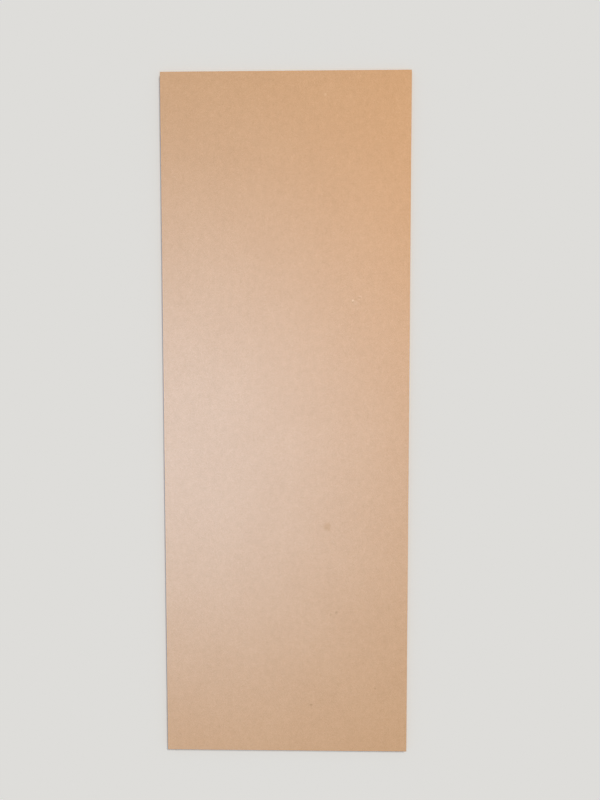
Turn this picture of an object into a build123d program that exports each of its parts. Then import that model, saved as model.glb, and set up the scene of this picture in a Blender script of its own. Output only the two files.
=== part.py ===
from build123d import *
import os
from math import sqrt

# A board of wood particles, sawn to size from a pressed panel and lying flat on the floor.
# Millimetres. X runs across the board, Y along it and Z up, with the origin at the centre
# of the underside. The face that the photograph shows is the upper one, and the end that
# stands highest in the photograph is at +Y.

# The sawn panel
board_length = 2000.0
board_width = 720.0
board_thickness = 12.0

# Wear from handling: the four upright corners and the long and short arrises
corner_radius = 1.2
arris_radius = 0.4

# The one chip that shows in an arris: on the right-hand edge of the upper face
chip_from_middle = -239.0  # along the board, towards the lower end
chip_length = 6.0
chip_bite = 1.0  # how far it reaches in from the edge
chip_lift = 1.0  # height of the scoop's centre over the face, which keeps it shallow


def sawn_panel():
    """The panel with its blunted corners and its slightly eased arrises."""
    outline = RectangleRounded(board_width, board_length, corner_radius)
    panel = extrude(outline, board_thickness)
    faces = panel.faces().sort_by(Axis.Z)
    arrises = faces[0].edges() + faces[-1].edges()
    return fillet(arrises, arris_radius)


def arris_chip():
    """The scoop that the chip leaves: part of a ball set outside the long edge."""
    radius_at_face = (chip_length**2 / 4 + chip_bite**2) / (2 * chip_bite)
    ball_radius = sqrt(radius_at_face**2 + chip_lift**2)
    across = board_width / 2 + radius_at_face - chip_bite
    return Pos(across, chip_from_middle, board_thickness + chip_lift) * Sphere(ball_radius)


board = sawn_panel() - arris_chip()
board.label = "board"

os.makedirs("parts", exist_ok=True)
export_step(board, "parts/board.step")
print(f"board {board.bounding_box().size}, volume {board.volume:.0f} mm3")
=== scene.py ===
import math
import random

import bpy
import numpy as np
from mathutils import Matrix, Vector, noise
from mathutils.geometry import delaunay_2d_cdt


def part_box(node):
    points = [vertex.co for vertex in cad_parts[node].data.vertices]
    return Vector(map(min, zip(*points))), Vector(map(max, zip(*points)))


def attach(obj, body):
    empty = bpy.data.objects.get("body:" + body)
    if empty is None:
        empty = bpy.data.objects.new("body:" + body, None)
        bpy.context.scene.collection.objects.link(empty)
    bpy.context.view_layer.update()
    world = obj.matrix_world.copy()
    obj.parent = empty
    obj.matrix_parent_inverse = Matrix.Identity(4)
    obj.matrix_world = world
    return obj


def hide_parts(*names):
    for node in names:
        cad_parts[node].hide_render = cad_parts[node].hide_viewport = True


# A board of wood particles lies flat on a pale floor, seen from above. The board's mesh takes
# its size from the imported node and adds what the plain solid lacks: the open, chippy surface of
# the sawn edges, breakout along the arrises, and the marks in the upper face.

MM = 0.001

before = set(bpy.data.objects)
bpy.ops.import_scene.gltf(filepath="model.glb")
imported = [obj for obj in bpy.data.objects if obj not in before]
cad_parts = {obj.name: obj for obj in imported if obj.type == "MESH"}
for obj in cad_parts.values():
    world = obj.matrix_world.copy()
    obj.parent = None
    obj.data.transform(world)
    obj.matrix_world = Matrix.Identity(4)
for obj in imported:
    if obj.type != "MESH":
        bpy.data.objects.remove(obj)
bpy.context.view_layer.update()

low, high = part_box("board")
WIDTH = high.x - low.x
LENGTH = high.y - low.y
THICKNESS = high.z - low.z

# Wear that the solid has too
CORNER_RADIUS = 1.2 * MM
ARRIS_RADIUS = 0.4 * MM
CHIP_ALONG = -239.0 * MM
CHIP_LENGTH = 6.0 * MM
CHIP_BITE = 1.0 * MM
CHIP_LIFT = 1.0 * MM

# Dents at the fleck and the scuff: x, y, half length, half width, direction in degrees and
# depth, with every length in millimetres
DENTS = (
    (194.3, 345.0, 2.6, 1.6, 0.0, 0.20),
    (212.5, 357.5, 5.0, 1.5, 12.0, 0.22),
    (204.5, 351.5, 4.0, 1.4, -30.0, 0.15),
    (213.0, 346.5, 3.0, 1.6, -50.0, 0.15),
    (208.5, 340.0, 3.2, 1.2, 5.0, 0.12),
)


# Outline of the board

# Distance between the columns of points, and a finer one within reach of the chip
COLUMN_PITCH = 2.2 * MM
FINE_PITCH = 0.45 * MM
FINE_REACH = 7.0 * MM
CHIPPED_SIDE = 0
CORNER_STEPS = 5


def board_sides():
    """The straight part of each side, anticlockwise from the right-hand edge's lower end.

    Each is its start, the direction that it runs in, its length and its outward direction.
    """
    half_x, half_y = WIDTH / 2, LENGTH / 2
    inner_x, inner_y = half_x - CORNER_RADIUS, half_y - CORNER_RADIUS
    return (
        (Vector((half_x, -inner_y)), Vector((0, 1)), 2 * inner_y, Vector((1, 0))),
        (Vector((inner_x, half_y)), Vector((-1, 0)), 2 * inner_x, Vector((0, 1))),
        (Vector((-half_x, inner_y)), Vector((0, -1)), 2 * inner_y, Vector((-1, 0))),
        (Vector((-inner_x, -half_y)), Vector((1, 0)), 2 * inner_x, Vector((0, -1))),
    )


def side_stops(number, length):
    """How far along a side each of its columns stands. They are closer together at the chip."""
    stops = list(np.linspace(0, length, round(length / COLUMN_PITCH) + 1))
    if number == CHIPPED_SIDE:
        middle = CHIP_ALONG + length / 2
        stops = [stop for stop in stops if abs(stop - middle) > FINE_REACH]
        stops += list(np.arange(middle - FINE_REACH, middle + FINE_REACH, FINE_PITCH))
        stops.sort()
    return stops


def outline_columns():
    """The columns of points round the board.

    Returns each column's place on the outline, its outward direction, its distance along the
    side that it belongs to as a share of that side, and the number of the side.
    """
    places, outward, share, side_of = [], [], [], []
    for number, (start, along, length, out) in enumerate(board_sides()):
        for stop in side_stops(number, length):
            places.append(start + along * stop)
            outward.append(out)
            share.append(stop / length)
            side_of.append(number)
        centre = start + along * length - out * CORNER_RADIUS
        for step in range(1, CORNER_STEPS):
            turn = math.radians(90 * step / CORNER_STEPS)
            direction = out * math.cos(turn) + along * math.sin(turn)
            places.append(centre + direction * CORNER_RADIUS)
            outward.append(direction)
            share.append(1.0)
            side_of.append(number)
    return np.array(places), np.array(outward), np.array(share), np.array(side_of)


# Section of the edge, as rings from the upper face round to the lower one

FACE_INSETS = (1.15 * MM, 0.8 * MM)
ARRIS_STEPS = 3
SIDE_ROWS = 20


def edge_section():
    """(inset from the outline, height) of each ring, and whether it is on the sawn edge."""
    rings = [(inset, THICKNESS, False) for inset in FACE_INSETS]
    for step in range(ARRIS_STEPS + 1):
        turn = math.radians(90 * step / ARRIS_STEPS)
        inset = ARRIS_RADIUS * (1 - math.sin(turn))
        rings.append((inset, THICKNESS - ARRIS_RADIUS * (1 - math.cos(turn)), step > 0))
    straight = THICKNESS - 2 * ARRIS_RADIUS
    rows = [THICKNESS - ARRIS_RADIUS - straight * k / SIDE_ROWS for k in range(1, SIDE_ROWS)]
    lower = [(inset, THICKNESS - z, sawn) for inset, z, sawn in reversed(rings)]
    return rings + [(0.0, z, True) for z in rows] + lower


# Relief of the sawn edge

# Flakes that the saw cut through: length, thickness, and the layer of the noise they come from
FLAKE = (5.0 * MM, 0.9 * MM, 0.0)
FINE_FLAKE = (2.4 * MM, 0.5 * MM, 20.0)
PIT = (3.2 * MM, 0.85 * MM, 40.0)

# How far the rows of flakes wander up and down, in thicknesses, how fast they do so along and
# up the edge, and how far off the layer of noise is that this comes from
ROW_WANDER = 0.6
WANDER_ALONG = 0.7
WANDER_UP = 0.3
WANDER_LAYER = 5.0

# Sends the centres of neighbouring flakes to different cells of the noise
CENTRE_SPREAD = 7.31

# Depth of the finer skin under each face, how far its flakes, the core's flakes and the pits
# are eaten in, and the share of the core that is open pits
SKIN = 2.4 * MM
SKIN_STEP = 0.05 * MM
CORE_STEP = 0.14 * MM
PIT_DEPTH = 0.6 * MM
PIT_SHARE = 0.10


def cut_flake(path, height, flake):
    """A number from 0 to 1 that is one value over each flake that the saw cut through."""
    length, thick, layer = flake
    along, up = path / length, height / thick
    slow = Vector((along * WANDER_ALONG, up * WANDER_UP, layer + WANDER_LAYER))
    wander = ROW_WANDER * noise.noise(slow)
    _, centres = noise.voronoi(Vector((along, up + wander, layer)))
    return noise.cell(centres[0] * CENTRE_SPREAD) * 0.5 + 0.5


def sawn_relief(path, height):
    """How far the sawn edge is eaten in at a place, and how much of that is an open pit."""
    in_core = (min(height, THICKNESS - height) - SKIN) / SKIN + 0.5
    in_core = max(0.0, min(1.0, in_core))
    coarse = cut_flake(path, height, FLAKE)
    fine = cut_flake(path, height, FINE_FLAKE)
    pit = in_core * max(0.0, 1 - cut_flake(path, height, PIT) / PIT_SHARE) ** 0.5
    return SKIN_STEP * fine + CORE_STEP * coarse * in_core + PIT_DEPTH * pit, pit


# Breakout along the arrises: small scoops, each the mark of a ball set outside the edge

# How many there are at each face, and the least and most of their length, of how far they bite
# into the edge, and of how far the middle of the ball is off the face
NICK_SEED = 11
NICKS_UPPER = 90
NICKS_LOWER = 130
NICK_LENGTH = (2.5 * MM, 8.0 * MM)
NICK_BITE = (0.10 * MM, 0.42 * MM)
NICK_LIFT = (0.2 * MM, 1.2 * MM)


def ball_for(bite, length, lift):
    """(distance of the centre outside the edge, radius) of a ball that leaves such a scoop."""
    at_face = (length ** 2 / 4 + bite ** 2) / (2 * bite)
    return at_face - bite, math.hypot(at_face, lift)


def arris_balls(places, outward):
    """(centre, radius) of every scoop: the chip in the photo, then the small breakout."""
    chance = random.Random(NICK_SEED)
    outside, radius = ball_for(CHIP_BITE, CHIP_LENGTH, CHIP_LIFT)
    balls = [((WIDTH / 2 + outside, CHIP_ALONG, THICKNESS + CHIP_LIFT), radius)]
    for count, height, up in ((NICKS_UPPER, THICKNESS, 1), (NICKS_LOWER, 0.0, -1)):
        for _ in range(count):
            column = chance.randrange(len(places))
            length = chance.uniform(*NICK_LENGTH)
            bite = chance.uniform(*NICK_BITE) + ARRIS_RADIUS / 2
            lift = chance.uniform(*NICK_LIFT)
            outside, radius = ball_for(bite, length, lift)
            x, y = places[column] + outward[column] * outside
            balls.append(((x, y, height + up * lift), radius))
    return balls


def scoop(points, balls):
    """Pushes the points that lie in a ball out to its surface, and says which they are."""
    cut = np.zeros(len(points), bool)
    for centre, radius in balls:
        away = points - np.array(centre)
        distance = np.linalg.norm(away, axis=1)
        inside = distance < radius
        points[inside] = centre + away[inside] * (radius / distance[inside])[:, None]
        cut |= inside
    return cut


# Points inside the faces, in millimetres

# Loops that widen away from the rim, as inset and pitch, and a plain grid inside them
GRADED_LOOPS = ((3.0, 4.5), (7.0, 9.0), (16.0, 18.0), (34.0, 36.0))
GRID_PITCH = 60.0

# A fine patch at the dents, and the loops round it, as margin and pitch
DENT_PATCH = (186.0, 332.0, 222.0, 366.0)
DENT_PITCH = 0.55
DENT_MARGINS = ((4.0, 2.5), (10.0, 6.0), (24.0, 14.0))

# The fill's setting that keeps what lies inside the rim, and how near points count as one
KEEP_INSIDE = 1
SAME_POINT = 1e-4


def dent_depth(x, y):
    """Depth of the small dents in the upper face at a place."""
    depth = 0.0
    for dent_x, dent_y, half_length, half_width, degrees, deepest in DENTS:
        turn = math.radians(degrees)
        along = (x - dent_x) * math.cos(turn) + (y - dent_y) * math.sin(turn)
        across = (y - dent_y) * math.cos(turn) - (x - dent_x) * math.sin(turn)
        reach = (along / half_length) ** 2 + (across / half_width) ** 2
        if reach < 1:
            depth = max(depth, deepest * (1 - reach) ** 2)
    return depth


def grown(rectangle, margin):
    """A rectangle, as its lowest and highest corners, with a margin added all round."""
    x0, y0, x1, y1 = rectangle
    return x0 - margin, y0 - margin, x1 + margin, y1 + margin


def span(start, end, pitch):
    """Evenly spaced numbers from start to end, both included, about a pitch apart."""
    return np.linspace(start, end, max(2, round((end - start) / pitch) + 1))


def loop_points(rectangle, pitch):
    """Points round a rectangle."""
    x0, y0, x1, y1 = rectangle
    across, along = span(x0, x1, pitch), span(y0, y1, pitch)
    points = [(x, y) for x in across for y in (y0, y1)]
    return points + [(x, y) for y in along[1:-1] for x in (x0, x1)]


def grid_points(rectangle, pitch):
    """Points all over a rectangle."""
    x0, y0, x1, y1 = rectangle
    return [(x, y) for x in span(x0, x1, pitch) for y in span(y0, y1, pitch)]


def face_points(with_dents):
    """Points inside a face, closer together near its edges and its dents."""
    half_x, half_y = WIDTH / MM / 2, LENGTH / MM / 2
    face = (-half_x, -half_y, half_x, half_y)
    points = []
    for inset, pitch in GRADED_LOOPS:
        points += loop_points(grown(face, -inset), pitch)
    grid_inset = GRADED_LOOPS[-1][0] + GRID_PITCH / 2
    points += grid_points(grown(face, -grid_inset), GRID_PITCH)
    if with_dents:
        x0, y0, x1, y1 = grown(DENT_PATCH, DENT_MARGINS[-1][0])
        points = [(x, y) for x, y in points if not (x0 < x < x1 and y0 < y < y1)]
        for margin, pitch in DENT_MARGINS:
            points += loop_points(grown(DENT_PATCH, margin), pitch)
        points += grid_points(DENT_PATCH, DENT_PITCH)
    return points


def fill_face(rim, with_dents):
    """Triangles over a face inside its rim: the new points and the corners of each triangle.

    Corners below the rim's length are rim points, and the rest count on from there.
    """
    inner = face_points(with_dents)
    flat = [Vector(place) / MM for place in rim] + [Vector(place) for place in inner]
    rim_face = [list(range(len(rim)))]
    _, _, faces, was, _, _ = delaunay_2d_cdt(flat, [], rim_face, KEEP_INSIDE, SAME_POINT)
    source = [ids[0] for ids in was]
    corners = [[source[i] for i in face] for face in faces]
    return np.array(inner), corners


# The board's mesh

def ring_points(places, outward, path, section):
    """The points of every ring round the edge, and how much of an open pit is at each."""
    points = np.zeros((len(section), len(places), 3))
    pits = np.zeros((len(section), len(places)))
    for ring, (inset, height, sawn) in enumerate(section):
        depth = np.zeros(len(places))
        if sawn:
            relief = np.array([sawn_relief(distance, height) for distance in path])
            settled = min(1.0, min(height, THICKNESS - height) / ARRIS_RADIUS)
            depth = relief[:, 0] * settled
            pits[ring] = relief[:, 1]
        points[ring, :, :2] = places - outward * (inset + depth)[:, None]
        points[ring, :, 2] = height
    return points.reshape(-1, 3), pits.ravel()


def edge_faces(columns, rings):
    """The four-cornered faces between each ring and the next."""
    following = np.roll(np.arange(columns), -1)
    faces = []
    for here in range(0, (rings - 1) * columns, columns):
        below = here + columns
        faces += [(here + c, below + c, below + n, here + n) for c, n in enumerate(following)]
    return faces


def raw_faces(section, cut):
    """Which faces of the edge are raw: those between two sawn rings, or cut by a scoop."""
    sawn = np.array([is_sawn for _, _, is_sawn in section])
    cut_beside = np.roll(cut, -1, axis=1)
    cut_at_a_corner = cut[:-1] | cut[1:] | cut_beside[:-1] | cut_beside[1:]
    return (sawn[:-1] & sawn[1:])[:, None] | cut_at_a_corner


def numbered(faces, columns, rim_start, inner_start):
    """A face's triangles, with corners numbered as the whole mesh's points are."""
    return [
        [rim_start + i if i < columns else inner_start + i - columns for i in face]
        for face in faces
    ]


def board_mesh():
    """The whole board: rings round its edge, and a fill over each face."""
    places, outward, share, side_of = outline_columns()
    section = edge_section()
    columns, rings = len(places), len(section)
    steps = np.linalg.norm(np.diff(places, axis=0, append=places[:1]), axis=1)
    path = np.concatenate([[0.0], np.cumsum(steps)])[:-1]
    shell, pits = ring_points(places, outward, path, section)
    cut = scoop(shell, arris_balls(places, outward)).reshape(rings, columns)
    shell[:, 2] = np.clip(shell[:, 2], 0.0, THICKNESS)

    upper_in, upper_fill = fill_face(shell[:columns, :2], True)
    lower_in, lower_fill = fill_face(shell[-columns:, :2], False)
    upper_points = [(x * MM, y * MM, THICKNESS - dent_depth(x, y) * MM) for x, y in upper_in]
    lower_points = [(x * MM, y * MM, 0.0) for x, y in lower_in]
    upper_start = len(shell)
    lower_start = upper_start + len(upper_in)

    edge = edge_faces(columns, rings)
    upper = numbered(upper_fill, columns, 0, upper_start)
    lower = numbered(lower_fill, columns, (rings - 1) * columns, lower_start)
    faces = edge + upper + [face[::-1] for face in lower]

    mesh = bpy.data.meshes.new("board_dressed")
    mesh.from_pydata(np.concatenate([shell, upper_points, lower_points]).tolist(), [], faces)
    pits = np.concatenate([pits, np.zeros(len(mesh.vertices) - len(pits))])
    mesh.attributes.new("pit", "FLOAT", "POINT").data.foreach_set("value", pits)

    # The raw faces take the second material, and the rest the first
    slots = np.zeros(len(faces), np.int32)
    slots[:len(edge)] = raw_faces(section, cut).ravel()
    mesh.polygons.foreach_set("material_index", slots)
    lay_out_map(mesh, rings, share, side_of, len(edge) + len(upper))
    mesh.shade_smooth()
    mesh.update()
    return mesh


# The texture map: both faces at one scale, and the four edges in bands above them. Lengths are
# shares of the map's side: a margin round each part, how far each part reaches along and up,
# and where the lower face and the bands begin.

UV_NAME = "OFBake"
UV_MARGIN = 0.006
USABLE = 1 - 2 * UV_MARGIN
FACE_SHARE = WIDTH / LENGTH * USABLE
EDGE_BAND = 0.055
LOWER_FACE_V = FACE_SHARE + 2 * UV_MARGIN
BANDS_V = 2 * LOWER_FACE_V

# Corners of an edge's face, in its own order: rings down, and columns along
EDGE_CORNERS = ((0, 0), (1, 0), (1, 1), (0, 1))


def edge_map(ring, column, rings, share, side_of):
    """Where the four corners of one of the edge's faces lie on the map."""
    first = len(FACE_INSETS)
    side = side_of[column]
    after = (column + 1) % len(share)
    ends = share[column], 1.0 if side_of[after] != side else share[after]
    for down, along in EDGE_CORNERS:
        v = (ring + down - first) / (rings - 1 - 2 * first)
        yield (
            UV_MARGIN + USABLE * ends[along],
            BANDS_V + UV_MARGIN + side * (EDGE_BAND + UV_MARGIN) + v * EDGE_BAND,
        )


def face_map(place, is_upper):
    """Where a point of the upper or the lower face lies on the map."""
    x, y, _ = place
    v = (x / WIDTH + 0.5) * FACE_SHARE + UV_MARGIN
    return UV_MARGIN + USABLE * (y / LENGTH + 0.5), v if is_upper else v + LOWER_FACE_V


def lay_out_map(mesh, rings, share, side_of, upper_end):
    """Adds the map. The upper face's triangles end before the face numbered upper_end."""
    columns = len(share)
    edge_end = (rings - 1) * columns
    first, last = len(FACE_INSETS), rings - 1 - len(FACE_INSETS)
    places = np.zeros(len(mesh.vertices) * 3)
    mesh.vertices.foreach_get("co", places)
    places = places.reshape(-1, 3)
    values = np.zeros((len(mesh.loops), 2))
    for face in mesh.polygons:
        ring, column = divmod(face.index, columns)
        if face.index < edge_end and first <= ring < last:
            corners = edge_map(ring, column, rings, share, side_of)
            for loop, value in zip(face.loop_indices, corners):
                values[loop] = value
            continue
        is_upper = ring < rings / 2 if face.index < edge_end else face.index < upper_end
        for loop in face.loop_indices:
            values[loop] = face_map(places[mesh.loops[loop].vertex_index], is_upper)
    mesh.uv_layers.new(name=UV_NAME).data.foreach_set("uv", values.ravel())


# Materials

class Nodes:
    """Short calls that add the nodes of one material, or of the world, and join them up."""

    def __init__(self, name, kind=bpy.data.materials):
        self.owner = kind.new(name)
        self.owner.use_nodes = True
        self.tree = self.owner.node_tree
        self.tree.nodes.clear()

    def node(self, kind, inputs=None, **settings):
        """A new node. Each input is a number or colour, or the socket that feeds it."""
        node = self.tree.nodes.new("ShaderNode" + kind)
        for name, value in settings.items():
            setattr(node, name, value)
        for name, value in (inputs or {}).items():
            if isinstance(value, bpy.types.NodeSocket):
                self.tree.links.new(value, node.inputs[name])
            else:
                node.inputs[name].default_value = value
        return node

    def add(self, kind, inputs=None, output=0, **settings):
        """One output of a new node."""
        return self.node(kind, inputs, **settings).outputs[output]

    def math(self, operation, a, b=0.0):
        return self.add("Math", {0: a, 1: b}, operation=operation)

    def total(self, first, *others):
        for other in others:
            first = self.math("ADD", first, other)
        return first

    def scaled(self, vector, scale):
        return self.add("VectorMath", {0: vector, 1: scale}, operation="MULTIPLY")

    def shifted(self, vector, by):
        return self.add("VectorMath", {0: vector, 1: by}, operation="ADD")

    def turned(self, vector, degrees):
        inputs = {"Vector": vector, "Angle": math.radians(degrees)}
        return self.add("VectorRotate", inputs, rotation_type="Z_AXIS")

    def step(self, value, start, end, low=0.0, high=1.0):
        """A smooth step from low to high as value goes from start to end."""
        inputs = {"Value": value, 1: start, 2: end, 3: low, 4: high}
        return self.add("MapRange", inputs, interpolation_type="SMOOTHSTEP")

    def spread(self, value, low, high, from_low=0.0, from_high=1.0):
        """A straight line from low to high as value goes from from_low to from_high."""
        return self.add("MapRange", {"Value": value, 1: from_low, 2: from_high, 3: low, 4: high})

    def swing(self, value, reach):
        """A straight line from minus reach to reach as value goes from 0 to 1."""
        return self.spread(value, -reach, reach)

    def between(self, share, a, b):
        """The number a where share is 0, and b where it is 1."""
        return self.add("Mix", {0: share, 2: a, 3: b})

    def noise(self, vector, pattern, output="Fac"):
        """Noise of a pattern that is given as its scale, detail and roughness."""
        scale, detail, rough = pattern
        inputs = {"Vector": vector, "Scale": scale, "Detail": detail, "Roughness": rough}
        return self.add("TexNoise", inputs, output)

    def cells(self, vector, feature="F1", output="Color"):
        return self.add("TexVoronoi", {"Vector": vector, "Scale": 1.0}, output, feature=feature)

    def channels(self, colour):
        """Three numbers from 0 to 1 that differ from cell to cell."""
        return self.node("SeparateColor", {0: colour}).outputs

    def mix(self, share, a, b, blend="MIX"):
        """Colour b laid over colour a."""
        return self.add("Mix", {0: share, 6: a, 7: b}, 2, data_type="RGBA", blend_type=blend)

    def ramp(self, value, stops):
        node = self.node("ValToRGB", {0: value})
        marks = node.color_ramp.elements
        for mark, (place, shade) in ((marks[0], stops[0]), (marks[-1], stops[-1])):
            mark.position, mark.color = place, shade
        for place, shade in stops[1:-1]:
            marks.new(place).color = shade
        return node.outputs[0]

    def finish(self, colour, rough, relief, specular):
        """Joins up the shader, with relief as a height in millimetres."""
        normal = self.add("Bump", {"Strength": 1.0, "Distance": MM, "Height": relief})
        inputs = {
            "Base Color": colour,
            "Roughness": rough,
            "Specular IOR Level": specular,
            "Normal": normal,
        }
        self.node("OutputMaterial", {"Surface": self.add("BsdfPrincipled", inputs)})
        return self.owner


def linear(red, green, blue):
    """A colour given as on screen, 0 to 255, as the linear numbers that a shader takes."""
    parts = [c / 255 for c in (red, green, blue)]
    return [c / 12.92 if c <= 0.04045 else ((c + 0.055) / 1.055) ** 2.4 for c in parts] + [1.0]


def wood_space(n):
    """Places on the board in millimetres: as a vector, and its height alone."""
    place = n.scaled(n.add("TexCoord", output="Object"), (1 / MM, 1 / MM, 1 / MM))
    return place, n.add("SeparateXYZ", {0: place}, 2)


# Tones shift a place along the stops of its colour, starting from here
MID_TONE = 0.5


# The sanded faces. Lengths are in millimetres, and a noise is given as its scale per
# millimetre, its detail and its roughness.

FACE_STOPS = (
    (0.0, linear(181, 143, 112)),
    (0.5, linear(213, 179, 150)),
    (1.0, linear(238, 211, 187)),
)
REDDER = linear(255, 253, 252)
REDDER_WHERE = (0.3, 0.7)

# Fines pressed into the face, and the few larger chips among them: direction in degrees,
# length, width and tone, and the share of them that shows
FINES = ((18, 1.5, 0.34, 0.19), (79, 1.2, 0.30, 0.16), (137, 1.7, 0.38, 0.16))
FINES_SHOWN = 0.42
LARGER_CHIPS = (52, 5.5, 1.3, 0.10)
LARGER_SHOWN = 0.05
FLECK_RIM = 0.02

# Noise that bends the fines, and by how much
BENDING = (1.1, 1.0, 0.5)
BENT_BY = 0.25

# Noise over the whole face, and the tone that each kind adds
DUST = (3.2, 2.0, 0.6)
DUST_TONE = 0.08
MOTTLE = (0.06, 5.0, 0.6)
MOTTLE_TONE = 0.14
CLOUDS = (0.006, 3.0, 0.55)
CLOUD_TONE = 0.05
SANDING = (1.0, 2.0, 0.5)
SANDING_STRETCH = (1.3, 0.010, 1.0)
SANDING_TONE = 0.05

# Relief. The fines reach theirs where their tone is FINES_RANGE.
FINES_RELIEF = 0.010
FINES_RANGE = 0.3
DUST_RELIEF = 0.018
SANDING_RELIEF = 0.012
FACE_ROUGH = (0.68, 0.84)
FACE_SPECULAR = 0.35


def fleck_tone(n, place, fleck, shown):
    """Tone from long thin cells that lie one way, of which only some show."""
    degrees, length, width, tone = fleck
    cells = n.cells(n.scaled(n.turned(place, degrees), (1 / length, 1 / width, 1 / width)))
    pick, shade, _ = n.channels(cells)
    return n.math("MULTIPLY", n.step(pick, 1 - shown, 1 - shown + FLECK_RIM), n.swing(shade, tone))


def face_material():
    n = Nodes("sanded_face")
    place, height = wood_space(n)
    wander = n.swing(n.noise(place, BENDING), BENT_BY)
    bent = n.shifted(place, n.add("CombineXYZ", {0: wander, 1: wander, 2: 0.0}))
    fines = [fleck_tone(n, bent, fleck, FINES_SHOWN) for fleck in FINES]
    dust = n.noise(place, DUST)
    mottle = n.noise(place, MOTTLE)
    clouds = n.noise(place, CLOUDS)
    sanding = n.noise(n.scaled(place, SANDING_STRETCH), SANDING)
    tone = n.total(
        *fines,
        fleck_tone(n, bent, LARGER_CHIPS, LARGER_SHOWN),
        n.swing(dust, DUST_TONE),
        n.swing(mottle, MOTTLE_TONE),
        n.swing(clouds, CLOUD_TONE),
        n.swing(sanding, SANDING_TONE),
        MID_TONE,
    )
    colour = n.ramp(tone, FACE_STOPS)
    colour = n.mix(n.step(mottle, *REDDER_WHERE), colour, REDDER, "MULTIPLY")
    colour = with_marks(n, colour, place, height)
    relief = n.total(
        n.spread(fines[0], -FINES_RELIEF, FINES_RELIEF, -FINES_RANGE, FINES_RANGE),
        n.swing(dust, DUST_RELIEF),
        n.swing(sanding, SANDING_RELIEF),
    )
    return n.finish(colour, n.spread(dust, *FACE_ROUGH), relief, FACE_SPECULAR)


# The marks on the upper face. The first two shades darken what is under them, and TORN covers it
# with pale torn fibres. The dark marks in the dents at the fleck and the scuff are painted shade
# of those dents, and the others are dark specks.

DARK_SPECKS_AND_DENT_SHADE = (0.34, 0.23, 0.11, 1.0)
STAINED = (0.54, 0.30, 0.0, 1.0)
TORN = linear(255, 238, 218)

# x, y, half length, half width, direction in degrees, softness of the rim, strength and shade
MARKS = (
    (120.8, -314.6, 10.8, 9.6, 70, 0.60, 0.18, STAINED),
    (119.0, -321.5, 5.5, 4.0, 0, 0.7, 0.07, STAINED),
    (127.5, -325.2, 4.2, 3.2, 40, 0.7, 0.14, STAINED),
    (194.3, 348.8, 3.2, 2.1, 75, 0.4, 0.42, TORN),
    (197.5, 347.6, 3.2, 1.3, -15, 0.5, 0.14, TORN),
    # At the fleck and the scuff, most darkening marks lie in the dents and are painted shade of
    # them
    (193.4, 343.4, 2.8, 1.7, 5, 0.5, 0.20, DARK_SPECKS_AND_DENT_SHADE),
    (213.2, 356.6, 5.0, 1.9, -14, 0.5, 0.18, DARK_SPECKS_AND_DENT_SHADE),
    (215.0, 360.2, 4.8, 1.7, -14, 0.5, 0.16, TORN),
    (204.3, 351.2, 3.6, 2.0, -30, 0.5, 0.06, DARK_SPECKS_AND_DENT_SHADE),
    (212.4, 351.8, 3.4, 1.4, 0, 0.5, 0.10, TORN),
    (213.6, 345.6, 3.2, 1.7, -35, 0.5, 0.10, DARK_SPECKS_AND_DENT_SHADE),
    (217.4, 339.0, 2.2, 3.2, 0, 0.5, 0.09, DARK_SPECKS_AND_DENT_SHADE),
    (202.6, 341.0, 6.8, 5.4, -30, 0.6, 0.08, TORN),
    (149.0, -575.2, 4.6, 4.0, 70, 0.5, 0.22, DARK_SPECKS_AND_DENT_SHADE),
    (131.6, -580.8, 4.4, 2.8, 80, 0.5, 0.16, DARK_SPECKS_AND_DENT_SHADE),
    (74.0, -857.5, 4.6, 2.8, 15, 0.5, 0.26, DARK_SPECKS_AND_DENT_SHADE),
    (265.5, -805.6, 2.6, 3.0, 10, 0.5, 0.20, DARK_SPECKS_AND_DENT_SHADE),
    (114.0, 932.8, 4.0, 3.4, 45, 0.5, 0.20, TORN),
)
RIM_NOISE = (0.45, 3.0, 0.6)
RIM_RAGGED = 0.45

# The marks fade out between these depths, so that only the upper face has them
MARKS_FULL = 0.7
MARKS_GONE = 1.4


def with_marks(n, colour, place, height):
    """The upper face's stain, scuff, specks and painted shade in its dents, laid over its colour.
    """
    ragged = n.swing(n.noise(place, RIM_NOISE), RIM_RAGGED)
    top = THICKNESS / MM
    on_top = n.step(height, top - MARKS_GONE, top - MARKS_FULL)
    for x, y, half_length, half_width, degrees, softness, strength, shade in MARKS:
        local = n.turned(n.shifted(place, (-x, -y, 0)), -degrees)
        local = n.scaled(local, (1 / half_length, 1 / half_width, 0))
        reach = n.total(n.add("VectorMath", {0: local}, 1, operation="LENGTH"), ragged)
        mask = n.step(reach, 1 - softness, 1 + softness, strength, 0.0)
        blend = "MIX" if shade is TORN else "MULTIPLY"
        colour = n.mix(n.math("MULTIPLY", mask, on_top), colour, shade, blend)
    return colour


# The sawn edges, and the breakout along the arrises, given in the same way as the faces

EDGE_STOPS = (
    (0.0, linear(82, 56, 40)),
    (0.22, linear(151, 113, 87)),
    (0.5, linear(200, 161, 131)),
    (0.78, linear(218, 184, 155)),
    (1.0, linear(234, 206, 178)),
)

# The fine skin under each face gives way to the core between these depths
SKIN_FULL = 1.8
SKIN_GONE = 3.4

# Length and thickness of the flakes, and the tones that they add in the core and in the skin
CORE_FLAKE = (4.6, 0.75)
SKIN_FLAKE = (1.1, 0.32)
CORE_TONE = 0.26
CORE_FINE_TONE = 0.06
SKIN_TONE = 0.22
SKIN_PALER = 0.04

# Noise that makes the flakes drift out of straight rows, and how far along, across and up
DRIFT = (0.11, 2.0, 0.5)
DRIFT_BY = (4.0, 4.0, 1.6)
TO_CENTRE = (-0.5, -0.5, -0.5)

# Fibres, drawn out into long strands in the core and short grain in the skin
FIBRE = (1.0, 2.0, 0.6)
FIBRE_TONE = 0.20
STRAND = (6.0, 0.22)
GRAIN = (0.8, 0.26)

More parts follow.
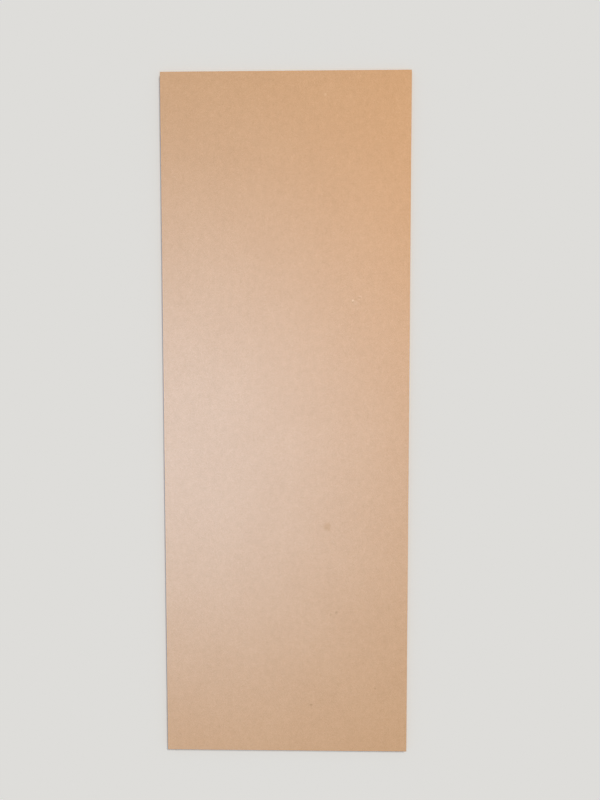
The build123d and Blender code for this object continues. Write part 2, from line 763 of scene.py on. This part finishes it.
# Upright scratches from the saw
SAW = (1.0, 2.0, 0.6)
SAW_STRETCH = (1.1, 1.1, 0.08)
SAW_TONE = 0.05

# Painted shade in the seams round the flakes of the core, which shows where a noise of gaps is
# high. The same noise makes the rims of the pits ragged.
GAP_NOISE = (1.6, 3.0, 0.6)
SEAM_WIDTH = 0.10
SEAMS_SHADED_WHERE = (0.42, 0.62)
SEAM_PAINTED_SHADE = 0.32

# Open pits, darkened with painted shade: how ragged the shade's rim is, where it fades in,
# and how dark it is
PIT_RAGGED = 0.45
PIT_RIM = (0.28, 0.55)
PIT_PAINTED_SHADE = 0.42

# Relief
FLAKE_RELIEF = 0.10
FIBRE_RELIEF = 0.16
SAW_RELIEF = 0.10
PIT_RELIEF = 0.35
EDGE_ROUGH = (0.78, 0.92)
EDGE_SPECULAR = 0.25


def lying(n, place, size):
    """Coordinates in which a flake that lies flat is one unit long and thick."""
    length, thick = size
    return n.scaled(place, (1 / length, 1 / length, 1 / thick))


def edge_material():
    n = Nodes("sawn_edge")
    place, height = wood_space(n)
    half_thick = THICKNESS / MM / 2
    from_middle = n.math("ABSOLUTE", n.math("SUBTRACT", height, half_thick))
    skin = n.step(from_middle, half_thick - SKIN_GONE, half_thick - SKIN_FULL)
    drift = n.shifted(n.noise(place, DRIFT, "Color"), TO_CENTRE)
    bent = n.shifted(place, n.scaled(drift, DRIFT_BY))
    core = n.channels(n.cells(lying(n, bent, CORE_FLAKE)))
    fine = n.channels(n.cells(lying(n, bent, SKIN_FLAKE)))
    rim = n.cells(lying(n, bent, CORE_FLAKE), "DISTANCE_TO_EDGE", "Distance")
    strand = n.noise(lying(n, bent, STRAND), FIBRE)
    grain = n.noise(lying(n, place, GRAIN), FIBRE)
    fibre = n.between(skin, strand, grain)
    gap_noise = n.noise(place, GAP_NOISE)
    saw = n.noise(n.scaled(place, SAW_STRETCH), SAW)

    core_tone = n.total(n.swing(core[1], CORE_TONE), n.swing(fine[1], CORE_FINE_TONE))
    skin_tone = n.total(n.swing(fine[1], SKIN_TONE), SKIN_PALER)
    # Painted shade in the seams round the core's flakes, which fades out in the skin
    seam_shade = n.math("MULTIPLY", n.step(rim, 0.0, SEAM_WIDTH, 1.0, 0.0), n.step(gap_noise, *SEAMS_SHADED_WHERE))
    seam_shade = n.math("MULTIPLY", seam_shade, n.spread(skin, SEAM_PAINTED_SHADE, 0.0))
    open_here = n.add("Attribute", output="Fac", attribute_name="pit")
    # Where the open pits are: painted shade darkens them, and the bump sinks them
    pit = n.step(n.total(open_here, n.swing(gap_noise, PIT_RAGGED)), *PIT_RIM)
    tone = n.total(
        n.between(skin, core_tone, skin_tone),
        n.swing(fibre, FIBRE_TONE),
        n.swing(saw, SAW_TONE),
        n.math("MULTIPLY", seam_shade, -1.0),
        n.math("MULTIPLY", pit, -PIT_PAINTED_SHADE),
        MID_TONE,
    )
    relief = n.total(
        n.spread(core[1], 0.0, FLAKE_RELIEF),
        n.spread(fibre, 0.0, FIBRE_RELIEF),
        n.spread(saw, 0.0, SAW_RELIEF),
        n.math("MULTIPLY", pit, -PIT_RELIEF),
    )
    colour = n.ramp(tone, EDGE_STOPS)
    return n.finish(colour, n.spread(fibre, *EDGE_ROUGH), relief, EDGE_SPECULAR)


# The piece

board = bpy.data.objects.new("board_dressed", board_mesh())
bpy.context.scene.collection.objects.link(board)
board.data.materials.append(face_material())
board.data.materials.append(edge_material())
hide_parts("board")
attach(board, "root")


# Light

# Soft warm light from the upper right and from all round
SUN_PLACE = Vector((1.3, 2.4, 3.0))
SUN_STRENGTH = 1.80
SUN_COLOUR = (1.0, 0.81, 0.50)
SUN_SPREAD = math.radians(14)
SKY = (0.36, 0.33, 0.275)

# Daylight that is strongest on the left of the board, a little below its middle, and a warmer
# light at the upper right: name, place, height over the floor, strength, colour and size. They
# fall on the board alone, so the floor stays plain.
BOARD_LAMPS = (
    ("daylight", (-0.40, -0.10), 0.8, 9.1, (0.265, 0.55, 1.0), 1.0),
    ("warm_light", (0.80, 0.70), 1.2, 3.1, (1.0, 0.48, 0.02), 0.8),
)


def lamp(name, kind, place, target, strength, colour, **settings):
    """A lamp that shines from a place towards a target, and isn't seen itself."""
    data = bpy.data.lights.new(name, kind)
    data.energy = strength
    data.color = colour
    for key, value in settings.items():
        setattr(data, key, value)
    thing = bpy.data.objects.new(name, data)
    thing.location = place
    thing.rotation_euler = (Vector(target) - thing.location).to_track_quat("-Z", "Y").to_euler()
    thing.visible_camera = False
    bpy.context.scene.collection.objects.link(thing)
    return thing


lamp("key", "SUN", SUN_PLACE, (0, 0, 0), SUN_STRENGTH, SUN_COLOUR, angle=SUN_SPREAD)
lit = bpy.data.collections.new("lit_by_lamps")
lit.objects.link(board)
for name, (x, y), height, strength, colour, size in BOARD_LAMPS:
    overhead = lamp(name, "AREA", (x, y, height), (x, y, 0), strength, colour, size=size)
    overhead.light_linking.receiver_collection = lit


# Floor and backdrop, which show one pale colour under the light that falls on them

FLOOR_SIZE = 60.0
FLOOR_DROP = 0.2 * MM
FLOOR_SHOWN = linear(222, 221, 218)

# The floor's own colour is a little cooler, so that what it throws back on the board's edges
# is neutral
FLOOR_COLOUR = linear(203, 211, 228)

sun_share = SUN_STRENGTH * SUN_PLACE.normalized().z / math.pi
floor_light = [sun_share * sun + sky for sun, sky in zip(SUN_COLOUR, SKY)]


def shown_rays(n):
    """Above zero for the rays that show the floor and backdrop themselves."""
    rays = n.node("LightPath").outputs
    return n.total(rays["Is Camera Ray"], rays["Is Glossy Ray"], rays["Is Transmission Ray"])


def floor_material():
    n = Nodes("pale_floor")
    shown = [shade / light for shade, light in zip(FLOOR_SHOWN, floor_light)] + [1.0]
    colour = n.mix(shown_rays(n), FLOOR_COLOUR, shown)
    n.node("OutputMaterial", {"Surface": n.add("BsdfDiffuse", {"Color": colour})})
    return n.owner


floor_mesh = bpy.data.meshes.new("floor")
half = FLOOR_SIZE / 2
corners = [(-half, -half, 0), (half, -half, 0), (half, half, 0), (-half, half, 0)]
floor_mesh.from_pydata(corners, [], [(0, 1, 2, 3)])
floor_mesh.materials.append(floor_material())
floor = bpy.data.objects.new("floor", floor_mesh)
floor.location.z = -FLOOR_DROP
bpy.context.scene.collection.objects.link(floor)

studio = Nodes("studio", bpy.data.worlds)
backdrop = studio.mix(shown_rays(studio), [*SKY, 1.0], FLOOR_SHOWN)
studio.node("OutputWorld", {"Surface": studio.add("Background", {"Color": backdrop})})
bpy.context.scene.world = studio.owner


# Camera, which looks down on the board as the photo looks at it. Its place was fitted to the
# four corners of the face, with a focal length of 620 pixels in a picture 800 pixels high.

FOCAL_PIXELS = 620.0
PICTURE_LONG_SIDE = 800.0
SENSOR = 36.0
CAMERA_PLACE = (0.0704, 0.1535, 1.8253)
CAMERA_FORWARD = Vector((-0.0163, -0.0518, -0.9985))
CAMERA_UP = Vector((0.0, 0.9987, -0.0518))

camera_data = bpy.data.cameras.new("camera")
camera_data.sensor_width = SENSOR
camera_data.lens = SENSOR * FOCAL_PIXELS / PICTURE_LONG_SIDE
camera = bpy.data.objects.new("camera", camera_data)
backward = -CAMERA_FORWARD.normalized()
right = CAMERA_UP.cross(backward).normalized()
up = backward.cross(right)
camera_turn = Matrix((right, up, backward)).transposed().to_4x4()
camera.matrix_world = Matrix.Translation(CAMERA_PLACE) @ camera_turn
bpy.context.scene.collection.objects.link(camera)
bpy.context.scene.camera = camera
bpy.context.scene.view_settings.view_transform = "Standard"

bpy.context.view_layer.update()
